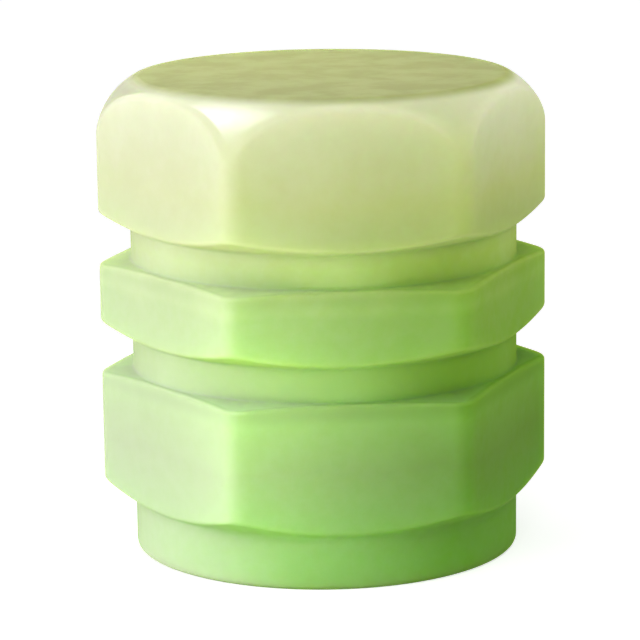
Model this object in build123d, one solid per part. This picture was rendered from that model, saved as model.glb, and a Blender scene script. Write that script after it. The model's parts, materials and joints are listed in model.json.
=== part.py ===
from build123d import *
from math import cos, pi, radians, tan
import os

os.makedirs("parts", exist_ok=True)

# Valve stem that the cap screws onto
stem_diameter = 7.75  # over the crests of the stem's thread
thread_clearance = 0.075  # radial, from those crests to the bore wall
thread_depth = 8.2  # from the mouth to the washer's seat
lead_in = 0.5  # 45 degree chamfer that guides the stem into the mouth

# Rubber washer, snapped past the bore into a wider seat at its blind end
washer_thickness = 1.0
washer_hole_diameter = 3.8  # leaves the valve's pin free
seat_step = 0.25  # radial, from the bore wall out to the seat wall
washer_clearance = 0.05  # radial, from the washer to the seat wall

# Hexagonal bands, from the mouth upwards
flat_wall = 1.3  # from the bore wall to the middle of a flat
corner_radius = 0.8  # on the six upright corners
collar_height = 1.4
lower_band = 3.5
middle_band = 2.0
upper_band = 3.9
groove_width = 0.9

# Turned form that trims the hexagon
collar_step = 0.15  # from the flats in to the collar's wall
groove_depth = 0.15  # from the flats in to a groove's floor
collar_slope = 30  # degrees, flare of the lower band's underside
under_slope = 24  # degrees, flare of the wall above a groove
ledge_slope = 7  # degrees, fall of the ledge below a groove
shoulder_height = 1.75
shoulder_inset = 1.12  # from the upright start of the shoulder in to the rim
shoulder_lead = 0.03  # the shoulder starts this far outside the corners

# Softened edges
mouth_break = 0.15
collar_root_radius = 0.2
band_edge_break = 0.08

# Radii from the axis
bore_radius = stem_diameter / 2 + thread_clearance
seat_radius = bore_radius + seat_step
flat_radius = bore_radius + flat_wall
collar_radius = flat_radius - collar_step
groove_radius = flat_radius - groove_depth
corner_reach = (flat_radius - corner_radius) / cos(pi / 6) + corner_radius
blank_radius = corner_reach + shoulder_lead
rim_radius = blank_radius - shoulder_inset

# Heights above the mouth
lower_top = collar_height + lower_band
middle_foot = lower_top + groove_width
middle_top = middle_foot + middle_band
upper_foot = middle_top + groove_width
cap_height = upper_foot + upper_band
shoulder_foot = cap_height - shoulder_height
seat_top = thread_depth + washer_thickness


def flare(start_radius, slope):
    """Height gained on the way out from start_radius to the blank's wall."""
    return (blank_radius - start_radius) * tan(radians(slope))


def outer_wall():
    """Points of the turned wall, from the mouth up to the shoulder."""
    points = [
        (bore_radius + lead_in, 0),
        (collar_radius - mouth_break, 0),
        (collar_radius, mouth_break),
        (collar_radius, collar_height),
        (blank_radius, collar_height + flare(collar_radius, collar_slope)),
    ]
    for ledge, underside in ((lower_top, middle_foot), (middle_top, upper_foot)):
        points += [
            (blank_radius, ledge - flare(groove_radius, ledge_slope)),
            (groove_radius, ledge),
            (groove_radius, underside),
            (blank_radius, underside + flare(groove_radius, under_slope)),
        ]
    return points + [(blank_radius, shoulder_foot)]


def turned_form():
    """The cap as turned from a round blank, with its bore and washer seat."""
    points = outer_wall()
    collar_root = (collar_radius, collar_height)
    radii = [collar_root_radius if point == collar_root else 0 for point in points[1:-1]]
    with BuildSketch(Plane.XZ) as section:
        with BuildLine():
            wall = FilletPolyline(*points, radius=radii)
            shoulder = TangentArc(wall @ 1, (rim_radius, cap_height), tangent=wall % 1)
            Polyline(
                shoulder @ 1,
                (0, cap_height),
                (0, seat_top),
                (seat_radius, seat_top),
                (seat_radius, thread_depth),
                (bore_radius, thread_depth),
                (bore_radius, lead_in),
                points[0],
            )
        make_face()
    return revolve(section.sketch, Axis.Z)


def cap_body():
    """Rounded hexagonal bar trimmed to the turned form, with its band edges broken."""
    hexagon = RegularPolygon(flat_radius, 6, major_radius=False)
    hexagon = fillet(hexagon.vertices(), corner_radius)
    body = extrude(hexagon, cap_height) & turned_form()
    outline = hexagon.wire()
    band_edges = [
        edge
        for edge in body.edges()
        if edge.geom_type != GeomType.LINE
        and outline.distance_to(Vertex((edge @ 0.5).X, (edge @ 0.5).Y, 0)) < 1e-4
    ]
    return chamfer(band_edges, band_edge_break)


def sealing_washer():
    """Flat ring held between the seat's end and the lip of the bore below it."""
    washer_radius = seat_radius - washer_clearance
    ring = Circle(washer_radius) - Circle(washer_hole_diameter / 2)
    return extrude(Plane.XY.offset(thread_depth) * ring, washer_thickness)


export_step(cap_body(), "parts/cap_body.step")
export_step(sealing_washer(), "parts/sealing_washer.step")
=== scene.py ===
import json
from math import pi, radians

import bpy
import numpy as np
from mathutils import Matrix, Vector


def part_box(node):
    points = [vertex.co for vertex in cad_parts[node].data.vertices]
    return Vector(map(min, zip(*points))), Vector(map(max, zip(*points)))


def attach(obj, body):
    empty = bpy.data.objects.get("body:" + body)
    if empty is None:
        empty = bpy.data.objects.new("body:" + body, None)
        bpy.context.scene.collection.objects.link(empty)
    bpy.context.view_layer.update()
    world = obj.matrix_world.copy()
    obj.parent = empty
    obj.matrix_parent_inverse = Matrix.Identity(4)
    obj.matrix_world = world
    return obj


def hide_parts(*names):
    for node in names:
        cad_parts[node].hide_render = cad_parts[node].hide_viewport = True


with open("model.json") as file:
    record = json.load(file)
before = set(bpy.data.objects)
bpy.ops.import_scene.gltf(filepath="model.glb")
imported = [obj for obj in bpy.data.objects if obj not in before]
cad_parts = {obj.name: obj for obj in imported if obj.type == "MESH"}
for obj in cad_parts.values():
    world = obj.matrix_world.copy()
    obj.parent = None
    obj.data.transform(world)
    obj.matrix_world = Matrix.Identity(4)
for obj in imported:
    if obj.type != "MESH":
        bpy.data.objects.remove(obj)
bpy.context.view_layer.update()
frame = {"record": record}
mm = 0.001
capLow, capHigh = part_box("cap_body")
washerLow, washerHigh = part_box("sealing_washer")
boreRadius = frame["record"]["mounts"][0]["dims"]["r_mm"] * mm  # the thread's root, from its mount
print("frame loaded, cap", [round(side / mm, 3) for side in capHigh - capLow], "mm")


# Shader maths: one socket, with operators that add Math nodes

class Wire:
    def __init__(self, tree, socket=None):
        self.tree = tree
        self.socket = socket

    def add(self, kind, settings, inputs, output=0):
        # a node of this type; settings first, then values or links of its sockets
        node = self.tree.nodes.new("ShaderNode" + kind)
        for name, value in settings.items():
            if name == "stops":
                ramp = node.color_ramp
                while len(ramp.elements) < len(value):
                    ramp.elements.new(0.5)
                for element, (place, colour) in zip(ramp.elements, value):
                    element.position = place
                    element.color = (*colour, 1)
            else:
                setattr(node, name, value)
        for name, value in inputs.items():
            if isinstance(value, Wire):
                self.tree.links.new(value.socket, node.inputs[name])
            else:
                node.inputs[name].default_value = value
        return Wire(self.tree, node.outputs[output])

    def math(self, operation, first, second=0.0):
        return self.add("Math", {"operation": operation}, {0: first, 1: second})

    def __add__(self, other):
        return self.math("ADD", self, other)

    def __radd__(self, other):
        return self.math("ADD", other, self)

    def __sub__(self, other):
        return self.math("SUBTRACT", self, other)

    def __rsub__(self, other):
        return self.math("SUBTRACT", other, self)

    def __mul__(self, other):
        return self.math("MULTIPLY", self, other)

    def __rmul__(self, other):
        return self.math("MULTIPLY", other, self)

    def between(self, low, high):
        # 0 below low, 1 above high, an S-curve in between
        settings = {"interpolation_type": "SMOOTHSTEP"}
        return self.add("MapRange", settings, {0: self, 1: low, 2: high, 3: 0.0, 4: 1.0})

    def blend(self, first, second):
        # this value takes the colour from the first to the second
        return self.add("Mix", {"data_type": "RGBA"}, {0: self, 6: first, 7: second}, 2)

    def tinted(self, tint):
        # this colour with its value and saturation multiplied
        return self.add("HueSaturation", {}, {**tint, "Color": self})

    def noise(self, place, scale, detail, roughness):
        inputs = {"Vector": place, "Scale": scale, "Detail": detail, "Roughness": roughness}
        return self.add("TexNoise", {}, inputs)


def newMaterial(name):
    material = bpy.data.materials.new(name)
    material.use_nodes = True
    tree = material.node_tree
    tree.nodes.clear()
    return material, Wire(tree)


def finishMaterial(wire, shader):
    output = wire.tree.nodes.new("ShaderNodeOutputMaterial")
    wire.tree.links.new(shader.socket, output.inputs["Surface"])


# Grids to meshes

def ringFaces(rows, columns):
    # quads between neighbouring rows, closed round the ring by rolling the columns one place on
    index = np.arange(rows * columns).reshape(rows, columns)
    onward = np.roll(index, -1, axis=1)
    quads = [index[:-1], index[1:], onward[1:], onward[:-1]]
    return np.stack(quads, -1).reshape(-1, 4).tolist()


def poleFaces(ring, pole):
    # triangles from every step of a ring to one point on the axis
    return np.stack([np.full_like(ring, pole), ring, np.roll(ring, -1)], -1).tolist()


def turned(section, angle):
    # radius and height of each point carried to its column's direction from the axis
    radius, height = section[..., 0], section[..., 1]
    return np.stack([radius * np.cos(angle), radius * np.sin(angle), height], -1)


def addPiece(name, points, faces, material, node):
    mesh = bpy.data.meshes.new(name)
    mesh.from_pydata(points.tolist(), [], faces)
    mesh.polygons.foreach_set("use_smooth", np.ones(len(mesh.polygons), bool))
    mesh.materials.append(material)
    mesh.update()
    piece = bpy.data.objects.new(name, mesh)
    bpy.context.collection.objects.link(piece)
    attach(piece, "root")
    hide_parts(node)
    print(name, "made,", len(points), "points")


# Sides of a section: a function of the share f of the way along, and the length

def straightSide(start, end):
    # start + (end - start) * f
    start = np.stack(np.broadcast_arrays(*start), -1)
    end = np.stack(np.broadcast_arrays(*end), -1)
    return lambda f: start + (end - start) * f[..., None], np.linalg.norm(end - start, axis=-1)


def roundSide(centre, radius, startAngle, endAngle):
    # centre + radius * (cos, sin) of an angle that goes evenly from the start to the end
    def at(f):
        angle = startAngle + (endAngle - startAngle) * f
        return np.stack([centre[0] + radius * np.cos(angle), centre[1] + radius * np.sin(angle)], -1)
    return at, radius * np.abs(endAngle - startAngle)


def softSection(sides, softness, columns, bendRows, longestCut):
    # Every side is cut short by the softness at its two ends, by the longest cut's share at most, and a
    # parabola with the sharp corner as its middle handle joins it to the next. Rows crowd towards a side's
    # ends by a cosine.
    rows = []
    t = np.linspace(0, 1, bendRows + 2)[1:-1, None, None]
    for number, (at, length, steps, crowding) in enumerate(sides):
        start = np.minimum(softness[number] / length, longestCut) + np.zeros(columns)
        end = 1 - np.minimum(softness[number + 1] / length, longestCut)
        even = np.linspace(0, 1, steps + 1)
        share = even + crowding * ((1 - np.cos(pi * even)) / 2 - even)
        stretch = at(start + (end - start) * share[:, None])
        if rows:
            corner = at(np.zeros((1, columns)))
            rows.append((1 - t) ** 2 * rows[-1][-1] + 2 * t * (1 - t) * corner + t ** 2 * stretch[0])
        rows.append(stretch)
    return np.concatenate(rows)


# The moulded cap

capForm = {  # millimetres and degrees
    "cornerRadius": 0.8,
    "collarHeight": 1.4,
    "lowerBand": 3.5,
    "middleBand": 2.0,
    "grooveWidth": 0.9,
    "collarStep": 0.15,
    "grooveDepth": 0.15,
    "collarSlope": 30,
    "underSlope": 24,
    "ledgeSlope": 7,
    "shoulderHeight": 1.75,
    "shoulderInset": 1.12,
    "shoulderLead": 0.03,
    "leadIn": 0.5,
    "seatStep": 0.25,
    "rimSoft": 0.12,
    "archSoft": 0.1,
    "bandSoft": 0.1,
    "rootSoft": 0.07,
    "collarSoft": 0.25,
    "mouthSoft": 0.15,
    "boreSoft": 0.05,
}
capGrid = {"cornerColumns": 12, "flatColumns": 24, "sideRows": 6, "bendRows": 4, "longestCut": 0.45}
threadForm = {  # millimetres, and shares of the pitch; 32 turns to the inch, right-hand
    "pitch": 25.4 / 32,
    "ridgeHeight": 0.43,
    "crestShare": 0.25,
    "rootShare": 0.125,
    "runIn": 0.7,
    "wallTolerance": 0.001,  # points this near the bore's radius lie on its wall
    "rows": 168,
}


def bandHeights():
    # in millimetres, each band or groove standing on the one below it
    lowerTop = capForm["collarHeight"] + capForm["lowerBand"]
    middleFoot = lowerTop + capForm["grooveWidth"]
    middleTop = middleFoot + capForm["middleBand"]
    upperFoot = middleTop + capForm["grooveWidth"]
    return lowerTop, middleFoot, middleTop, upperFoot


def hexOutline():
    # Sixth by sixth: a corner arc about a centre on the corner's ray, then the straight flat up to the
    # next arc. Given as the distance from the axis and the direction of every column.
    cornerRadius = capForm["cornerRadius"] * mm
    turn = np.linspace(-pi / 6, pi / 6, capGrid["cornerColumns"] + 1)
    arc = (capHigh.y - cornerRadius) / np.cos(pi / 6) + cornerRadius * np.exp(1j * turn)
    nextArc = arc[0] * np.exp(1j * pi / 3)
    way = np.linspace(0, 1, capGrid["flatColumns"] + 1)[1:-1]
    sixth = np.concatenate([arc, arc[-1] + (nextArc - arc[-1]) * way])
    outline = (np.exp(1j * pi / 3 * np.arange(6))[:, None] * sixth).ravel()
    return np.abs(outline), np.angle(outline)


def threadRidge(height, angle, low, high):
    # The distance from the middle of the ridge, in half pitches along the axis, is cut to a trapezium by
    # the crest and root widths; the whole fades in from both ends of the bore over the run-in.
    turns = height / (threadForm["pitch"] * mm) - angle / (2 * pi)
    away = np.abs(turns - np.round(turns)) * 2
    flank = 1 - threadForm["crestShare"] - threadForm["rootShare"]
    rise = np.clip((1 - threadForm["rootShare"] - away) / flank, 0, 1)
    fade = np.clip(np.minimum(height - low, high - height) / (threadForm["runIn"] * mm), 0, 1)
    return threadForm["ridgeHeight"] * mm * rise * fade * fade * (3 - 2 * fade)


def capSection(outer):
    # Half section under each column's own outer wall, from the middle of the top, over the shoulder,
    # down the bands and the collar, round the mouth and up the bore to the seat's end.
    size = {key: value * mm for key, value in capForm.items()}
    flare = {key: np.tan(radians(capForm[key])) for key in ("collarSlope", "underSlope", "ledgeSlope")}
    lowerTop, middleFoot, middleTop, upperFoot = [height * mm for height in bandHeights()]
    top = capHigh.z
    collar = capHigh.y - size["collarStep"]
    floor = capHigh.y - size["grooveDepth"]
    seat = boreRadius + size["seatStep"]
    outward = flare["underSlope"] * (outer - floor)
    ledge = flare["ledgeSlope"] * (outer - floor)
    lowerEdge = size["collarHeight"] + flare["collarSlope"] * (outer - collar)

    # the shoulder is an arc that starts upright just outside the corners and ends at the rim
    blank = capHigh.x + size["shoulderLead"]
    sweep = (size["shoulderInset"] ** 2 + size["shoulderHeight"] ** 2) / (2 * size["shoulderInset"])
    centre = (blank - sweep, top - size["shoulderHeight"])
    rim = blank - size["shoulderInset"]
    rimAngle = np.arccos((rim - centre[0]) / sweep)
    archAngle = np.arccos((outer - centre[0]) / sweep)

    few = capGrid["sideRows"]
    corners = [  # distance from the axis, height, softness, steps of the side that follows
        (outer, centre[1] + sweep * np.sin(archAngle), "archSoft", few),
        (outer, upperFoot + outward, "bandSoft", few),
        (floor, upperFoot, "rootSoft", few),
        (floor, middleTop, "rootSoft", few),
        (outer, middleTop - ledge, "bandSoft", few),
        (outer, middleFoot + outward, "bandSoft", few),
        (floor, middleFoot, "rootSoft", few),
        (floor, lowerTop, "rootSoft", few),
        (outer, lowerTop - ledge, "bandSoft", few),
        (outer, lowerEdge, "bandSoft", few),
        (collar, size["collarHeight"], "collarSoft", few),
        (collar, 0, "mouthSoft", few),
        (boreRadius + size["leadIn"], 0, "boreSoft", few),
        (boreRadius, size["leadIn"], "boreSoft", threadForm["rows"]),
        (boreRadius, washerLow.z, "boreSoft", few),
        (seat, washerLow.z, "boreSoft", few),
        (seat, washerHigh.z, "boreSoft", few),
    ]
    sides = [
        (*straightSide((0, top), (rim, top)), 2 * few, 1),
        (*roundSide(centre, sweep, rimAngle, archAngle), 2 * few, 1),
    ]
    ends = corners[1:] + [(0, washerHigh.z)]
    for start, end in zip(corners, ends):
        crowding = 0 if start[3] == threadForm["rows"] else 1
        sides.append((*straightSide(start[:2], end[:2]), start[3], crowding))
    softness = [0, size["rimSoft"]] + [size[name] for _, _, name, _ in corners] + [0]
    return softSection(sides, softness, len(outer), capGrid["bendRows"], capGrid["longestCut"])


def capBody(material):
    # the section of every column, the thread's ridge taken off the bore's radius, poles at both ends
    outer, angle = hexOutline()
    section = capSection(outer)
    low, high = capForm["leadIn"] * mm, washerLow.z
    radius, height = section[..., 0], section[..., 1]
    onWall = np.abs(radius - boreRadius) < threadForm["wallTolerance"] * mm
    inBore = onWall & (height > low) & (height < high)
    section[..., 0] -= np.where(inBore, threadRidge(height, angle, low, high), 0)
    rings = turned(section[1:-1], angle)
    rows, columns = rings.shape[:2]
    poles = np.array([[0, 0, capHigh.z], [0, 0, washerHigh.z]])
    points = np.concatenate([rings.reshape(-1, 3), poles])
    first = np.arange(columns)
    last = first[::-1] + (rows - 1) * columns
    faces = ringFaces(rows, columns) + poleFaces(first, rows * columns) + poleFaces(last, rows * columns + 1)
    addPiece("capBody", points, faces, material, "cap_body")


plasticLook = {  # lengths in millimetres; pairs are the start and end of a fade
    # the height ramp: the plastic's own green to pale, with painted light paling the top and painted shade
    # deepening the foot
    "stops": [  # share of the height, colour
        (0.0, (0.118, 0.367, 0.004)),
        (0.11, (0.112, 0.318, 0.004)),
        (0.25, (0.113, 0.267, 0.004)),
        (0.40, (0.152, 0.37, 0.004)),
        (0.56, (0.186, 0.375, 0.011)),
        (0.66, (0.335, 0.525, 0.071)),
        (0.72, (0.334, 0.43, 0.096)),
        (0.79, (0.412, 0.484, 0.12)),
        (0.89, (0.523, 0.571, 0.25)),
        (1.0, (0.651, 0.661, 0.418)),
    ],
    "cloud": (420.0, 3.0, 0.5),  # scale, detail and roughness of a noise
    "patch": (800.0, 4.0, 0.6),
    "grain": (2600.0, 3.0, 0.6),
    "drift": 0.06,  # of the stops with the clouds, as a share of the height
    "noiseFade": (0.35, 0.65),
    "mottle": {"Value": 1.1, "Saturation": 0.85},
    "mottleShare": 0.3,
    # painted shade: the grooves a little darker and more saturated
    "groove": {"Value": 0.96, "Saturation": 1.05},
    "grooveFade": 0.1,
    "edge": {"Value": 0.8, "Saturation": 1.06},  # painted shade on the strip under a band's top
    "edgeFade": (0.6, 0.2),
    "ledgeFade": (0.24, 0.12),
    "ledgeEnd": 0.05,
    # a pale, patchy edge at each band's top: wear, and painted light lifting the shade there
    "wornEdgeAndPaintedLight": (0.55, 0.68, 0.36, 1),
    "wornAndPaintedLightShare": 0.03,
    # darker patches on the ledges under each band
    "ledgeDirt": (0.10, 0.11, 0.05, 1),
    "ledgeDarkFade": (0.3, 0.6),
    "ledgeDarkShare": 0.2,
    # painted shade: the top face darker and more olive than the shoulder, in random paler and deeper patches
    "paleTopShade": (0.295, 0.328, 0.066, 1),
    "deepTopShade": (0.24, 0.267, 0.041, 1),
    "topFade": 0.2,
    "flatFade": (0.12, 0.2),  # depth behind a flat
    "shoulderFade": (10.3, 10.8),
    "roughness": 1.0,
    "shoulderRoughness": 0.42,
    "grainRoughness": 0.12,
    "topMatt": 0.7,  # share of the shoulder's polish that the top lacks
    "bumpStrength": 0.15,
    "bumpDepth": 0.02,
    "bumpGrain": 0.3,
    "sheen": 0.04,  # mirrored share
    "subsurfaceScale": 3.0,
    "subsurfaceRadius": (0.6, 1.0, 0.3),
}


def depthBehindFlat(wire, place):
    # in millimetres: the flats' distance from the axis, less the point's own towards the flat that it faces
    away = 0.0
    for number in range(3):
        normal = (np.sin(number * pi / 3), np.cos(number * pi / 3), 0)
        along = wire.add("VectorMath", {"operation": "DOT_PRODUCT"}, {0: place, 1: normal}, "Value")
        away = wire.math("MAXIMUM", away, wire.math("ABSOLUTE", along))
    return (capHigh.y - away) * (1 / mm)


def luminousPlastic():
    look = plasticLook
    material, wire = newMaterial("luminousPlastic")
    place = wire.add("TexCoord", {}, {}, "Object")
    height = wire.add("SeparateXYZ", {}, {0: place}, 2) * (1 / mm)
    capTop = capHigh.z / mm
    cloud, patch, grain = [wire.noise(place, *look[name]) for name in ("cloud", "patch", "grain")]
    sunk = depthBehindFlat(wire, place).between(*look["flatFade"])  # on the shoulder, grooves and collar
    upper = height.between(*look["shoulderFade"])
    onTop = height.between(capTop - look["topFade"], capTop)

    # green at the mouth to pale at the shoulder, a little uneven: partly the plastic's own tones, partly
    # painted light paling the top and painted shade deepening the foot
    colour = wire.add("ValToRGB", {"stops": look["stops"]}, {
        0: height * (1 / capTop) + (cloud - 0.5) * look["drift"],
    })
    mottled = (cloud * 0.5 + grain * 0.5).between(*look["noiseFade"]) * look["mottleShare"]
    colour = mottled.blend(colour, colour.tinted(look["mottle"]))

    # painted shade deepening the grooves, and on each band's top a pale patchy edge of wear and painted
    # light, darker patches on the ledge and a strip of painted shade below
    lowerTop, _, middleTop, _ = bandHeights()
    aboveLower = height.between(lowerTop - look["grooveFade"], lowerTop + look["grooveFade"])
    inGroove = sunk * (1 - upper) * aboveLower
    # painted shade in the grooves
    colour = inGroove.blend(colour, colour.tinted(look["groove"]))
    wornAndPaintedLight = cloud.between(*look["noiseFade"]) * look["wornAndPaintedLightShare"]
    ledgeDarkPatches = patch.between(*look["ledgeDarkFade"]) * look["ledgeDarkShare"]
    for bandTop in (lowerTop, middleTop):
        upTo = 1 - height.between(bandTop, bandTop + look["ledgeEnd"])
        ledge, edge = [
            height.between(bandTop - start, bandTop - end) * upTo
            for start, end in (look["ledgeFade"], look["edgeFade"])
        ]
        # pale band-top edge: wear and painted light
        colour = (ledge * (1 - sunk) * wornAndPaintedLight).blend(colour, look["wornEdgeAndPaintedLight"])
        colour = (ledge * sunk * ledgeDarkPatches).blend(colour, look["ledgeDirt"])
        # painted shade: the strip under each band's top made darker
        colour = (edge * (1 - sunk)).blend(colour, colour.tinted(look["edge"]))

    # painted shade on the top face, in random paler and deeper patches
    paintedTopShade = patch.between(*look["noiseFade"]).blend(look["deepTopShade"], look["paleTopShade"])
    colour = onTop.blend(colour, paintedTopShade)

    # a translucent body under a matt sheen, smoother on the shoulder
    polish = sunk * upper * (1 - onTop * look["topMatt"])
    roughness = look["roughness"] + (look["shoulderRoughness"] - look["roughness"]) * polish
    bump = wire.add("Bump", {}, {
        "Strength": look["bumpStrength"],
        "Distance": look["bumpDepth"] * mm,
        "Height": cloud * (1 - look["bumpGrain"]) + grain * look["bumpGrain"],
    })
    body = wire.add("BsdfPrincipled", {}, {
        "Base Color": colour,
        "Roughness": look["roughness"],
        "Normal": bump,
        "Specular IOR Level": 0.0,
        "Subsurface Weight": 1.0,
        "Subsurface Radius": look["subsurfaceRadius"],
        "Subsurface Scale": look["subsurfaceScale"] * mm,
    })
    sheen = wire.add("BsdfAnisotropic", {}, {
        "Color": (1, 1, 1, 1),
        "Roughness": roughness + (grain - 0.5) * look["grainRoughness"],
        "Normal": bump,
    })
    finishMaterial(wire, wire.add("MixShader", {}, {0: look["sheen"], 1: body, 2: sheen}))
    return material


# The rubber washer

washerForm = {"hole": 1.9, "squareness": 0.16, "columns": 120, "rows": 72}  # hole radius in millimetres


def sealingWasher(material):
    # a ring whose section is a squared ellipse: cosine and sine raised to a small power
    t = np.linspace(0, 2 * pi, washerForm["rows"], endpoint=False)[:, None]
    angle = np.linspace(0, 2 * pi, washerForm["columns"], endpoint=False)
    power = washerForm["squareness"]
    across = np.sign(np.cos(t)) * np.abs(np.cos(t)) ** power
    along = np.sign(np.sin(t)) * np.abs(np.sin(t)) ** power
    hole = washerForm["hole"] * mm
    radius = (washerHigh.x + hole) / 2 + (washerHigh.x - hole) / 2 * across + 0 * angle
    height = (washerHigh.z + washerLow.z) / 2 - (washerHigh.z - washerLow.z) / 2 * along + 0 * angle
    rings = turned(np.stack([radius, height], -1), angle)
    rows, columns = rings.shape[:2]
    points = rings.reshape(-1, 3)
    faces = np.array(ringFaces(rows + 1, columns)) % (rows * columns)  # the last row meets the first
    addPiece("sealingWasher", points, faces.tolist(), material, "sealing_washer")


rubberLook = {
    "black": (0.012, 0.012, 0.013, 1),
    "dusty": (0.045, 0.045, 0.047, 1),
    "dust": (900.0, 4.0, 0.6),  # scale, detail and roughness of the noise
    "dustFade": (0.35, 0.75),
    "roughness": 0.55,
    "dustRoughness": 0.25,
    "bumpStrength": 0.3,
    "bumpDepth": 0.02,  # millimetres
}


def sealRubber():
    look = rubberLook
    material, wire = newMaterial("sealRubber")
    place = wire.add("TexCoord", {}, {}, "Object")
    dust = wire.noise(place, *look["dust"])
    bump = wire.add("Bump", {}, {
        "Strength": look["bumpStrength"],
        "Distance": look["bumpDepth"] * mm,
        "Height": dust,
    })
    shader = wire.add("BsdfPrincipled", {}, {
        "Base Color": dust.between(*look["dustFade"]).blend(look["black"], look["dusty"]),
        "Roughness": look["roughness"] + dust * look["dustRoughness"],
        "Normal": bump,
    })
    finishMaterial(wire, shader)
    return material


capBody(luminousPlastic())
sealingWasher(sealRubber())


# Stage, light and camera

def around(azimuth, elevation, distance):
    # from the middle of the cap; azimuth 0 looks in from -Y, positive to the right
    azimuth, elevation = radians(azimuth), radians(elevation)
    level = np.cos(elevation)
    way = Vector((np.sin(azimuth) * level, -np.cos(azimuth) * level, np.sin(elevation)))
    return (capLow + capHigh) / 2 + way * distance


def aimed(place, target, roll=0.0):
    # looks from place to target with the horizon level, then rolls about the line of sight
    turn = (target - place).to_track_quat("-Z", "Y").to_matrix().to_4x4()
    return Matrix.Translation(place) @ turn @ Matrix.Rotation(radians(roll), 4, "Z")


floorLook = {"half": 0.6, "drop": 0.01 * mm, "grey": 0.8, "glow": 0.635}  # half side and drop in metres


def paleFloor():
    # one square just under the cap, white to the camera and in reflections
    half, drop = floorLook["half"], floorLook["drop"]
    mesh = bpy.data.meshes.new("paleFloor")
    corners = [(-half, -half, -drop), (half, -half, -drop), (half, half, -drop), (-half, half, -drop)]
    mesh.from_pydata(corners, [], [(0, 1, 2, 3)])
    material, wire = newMaterial("paleFloor")
    kinds = ("Is Camera Ray", "Is Glossy Ray", "Is Transmission Ray")
    camera, glossy, through = [wire.add("LightPath", {}, {}, kind) for kind in kinds]
    seen = wire.math("MAXIMUM", camera, wire.math("MAXIMUM", glossy, through))
    matt = wire.add("BsdfDiffuse", {}, {"Color": (floorLook["grey"],) * 3 + (1,)})
    glow = wire.add("Emission", {}, {"Strength": seen * floorLook["glow"]})
    finishMaterial(wire, wire.add("AddShader", {}, {0: matt, 1: glow}))
    mesh.materials.append(material)
    floor = bpy.data.objects.new("paleFloor", mesh)
    bpy.context.collection.objects.link(floor)


white, warm = (1.0, 1.0, 1.0), (1.0, 0.96, 0.84)

# azimuth and elevation in degrees; distance, width, height and the point aimed at in millimetres;
# spread in degrees, watts, colour
lamps = {  # light the cap, and show in no reflection
    "cornerLamp": (-22, -16, 12, 4, 4, (0, 0, 3), 180, 0.00025, white),
    "cornerStripLamp": (-16, -16, 9, 1.5, 8, (-2.38, 0, 3.8), 180, 0.000061, white),
    "frontLeftLamp": (-55, 8, 45, 20, 20, (0, 0, -3), 50, 0.00018, white),
    "fillLamp": (-7, 12, 100, 60, 60, (0, 0, 6.3), 180, 0.0397, white),
    "upperRightLamp": (70, 30, 40, 12, 12, (5, 0, 18), 40, 0.0003, white),
    "topLeftLamp": (-150, 60, 25, 12, 12, (-2, 2, 12.6), 60, 0.0002, white),
}
cards = {  # show in reflections alone
    "shoulderCard": (-95, 56, 100, 60, 60, (0, 0, 6.3), 180, 0.3, white),
    "shoulderTipCard": (-57, 36, 60, 20, 20, (0, 0, 11), 180, 0.0125, white),
    "upperLeftCard": (-85, 20, 40, 20, 20, (0, 0, 16), 60, 0.0035, warm),
    "leftCard": (-104, 6, 60, 30, 30, (0, 0, -5), 50, 0.0566, warm),
    "leftNearCard": (-105, -8, 14, 6, 8, (0, 0, 4), 180, 0.0006, white),
    "cornerCard": (-30, -16.7, 11.5, 4, 4, (0, 0, 3), 180, 0.00074, warm),
    "cornerStripCard": (-18, -2, 8.7, 1.5, 14, (-2.68, 0, 6), 180, 0.0011, warm),
    "rightCard": (95, 12, 30, 14, 14, (0, 0, 13), 60, 0.00106, warm),
}
ambient = 0.464


def addLamp(name, azimuth, elevation, distance, wide, tall, aim, spread, watts, colour):
    lamp = bpy.data.lights.new(name, "AREA")
    lamp.shape = "ELLIPSE"
    lamp.size = wide * mm
    lamp.size_y = tall * mm
    lamp.spread = radians(spread)
    lamp.energy = watts
    lamp.color = colour
    holder = bpy.data.objects.new(name, lamp)
    holder.matrix_world = aimed(around(azimuth, elevation, distance * mm), Vector(aim) * mm)
    holder.visible_camera = False
    bpy.context.collection.objects.link(holder)
    return holder


def studioLight():
    for name, settings in lamps.items():
        addLamp(name, *settings).visible_glossy = False
    for name, settings in cards.items():
        addLamp(name, *settings).visible_diffuse = False
    world = bpy.data.worlds.new("studio")
    bpy.context.scene.world = world
    world.use_nodes = True
    world.node_tree.nodes.clear()
    wire = Wire(world.node_tree)
    room = wire.add("Background", {}, {"Color": (*white, 1), "Strength": ambient})
    output = world.node_tree.nodes.new("ShaderNodeOutputWorld")
    world.node_tree.links.new(room.socket, output.inputs["Surface"])


view = {  # degrees and metres
    "azimuth": -6.9,
    "elevation": 11.9,
    "roll": -0.66,
    "distance": 0.085,
    "clip": (0.01, 10),
    "lens": 179.8,  # millimetres
    "sensor": 36,  # millimetres
    "aim": (4.3, -12.6),  # pixels
    "pixels": 640,  # across the picture
}


def photoCamera():
    # the aim turns the camera so that the cap's middle sits that many pixels off the picture's centre
    camera = bpy.data.cameras.new("camera")
    camera.lens = view["lens"]
    camera.sensor_width = view["sensor"]
    camera.clip_start, camera.clip_end = view["clip"]
    place = around(view["azimuth"], view["elevation"], view["distance"])
    straight = aimed(place, (capLow + capHigh) / 2, view["roll"])
    pixel = view["sensor"] / view["lens"] / view["pixels"]
    right, down = view["aim"]
    nudge = Matrix.Rotation(right * pixel, 4, "Y") @ Matrix.Rotation(down * pixel, 4, "X")
    holder = bpy.data.objects.new("camera", camera)
    holder.matrix_world = straight @ nudge
    bpy.context.collection.objects.link(holder)
    bpy.context.scene.camera = holder


paleFloor()
studioLight()
photoCamera()
bpy.context.scene.view_settings.view_transform = "Standard"
print("stage, light and camera set")
